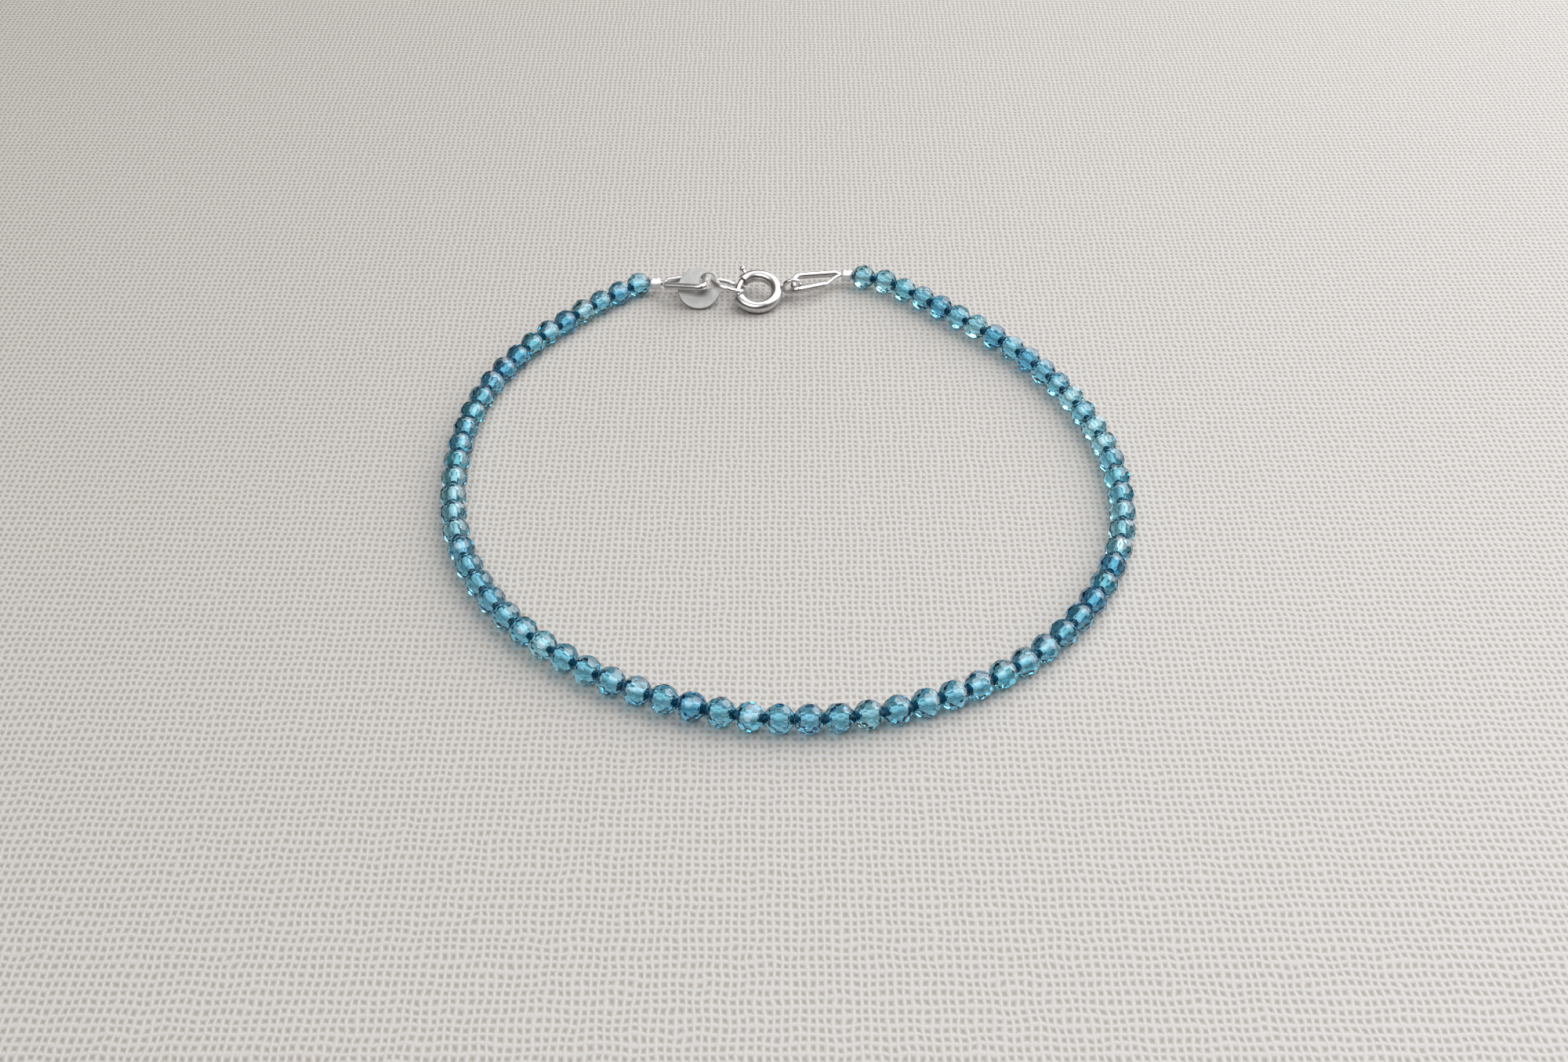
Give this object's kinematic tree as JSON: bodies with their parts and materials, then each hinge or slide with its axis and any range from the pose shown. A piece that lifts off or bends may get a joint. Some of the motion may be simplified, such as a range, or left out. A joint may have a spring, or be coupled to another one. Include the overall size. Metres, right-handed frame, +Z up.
{
  "type": "beaded bracelet",
  "caption": "Single-strand bracelet of small faceted round beads on a wire thread, closed with a spring ring on a jump ring, with a small round bare tag at the clasp.",
  "frame": {"origin": "centre of the footprint, at the height of the surface that the bracelet lies on", "axes": "+Z up from that surface, +Y from the wrist opening's middle towards the clasp, +X towards the spring ring's eyelet"},
  "size_m": [0.0584, 0.0586, 0.0028],
  "materials": {
    "bead": "polished facets, transparent teal blue",
    "silver": "polished silver",
    "crimp": "bright silver",
    "tag": "matt silver, bare"
  },
  "bodies": {
    "bracelet": {"beads_01": "bead", "beads_02": "bead", "beads_03": "bead", "beads_04": "bead", "beads_05": "bead", "beads_06": "bead", "beads_07": "bead", "beads_08": "bead", "beads_09": "bead", "beads_10": "bead", "beads_11": "bead", "beads_12": "bead", "beads_13": "bead", "beads_14": "bead", "beads_15": "bead", "beads_16": "bead", "beads_17": "bead", "beads_18": "bead", "crimp_right": "crimp", "crimp_left": "crimp", "strands_right": "silver", "strands_left": "silver", "guardian_right": "silver", "guardian_left": "silver", "tag": "tag", "jump_ring": "silver", "spring_ring": "silver"},
    "bolt": {"bolt": "silver"}
  },
  "joints": [
    {"name": "bolt_retract", "type": "hinge", "parent": "bracelet", "child": "bolt", "pos_m": [-0.0027, 0.02562, 0.0012], "axis": [0, 0.309, -0.9511], "range_deg": [0, 73], "stiffness_Nm_per_rad": 0.0004, "springref_deg": -17.19}
  ]
}
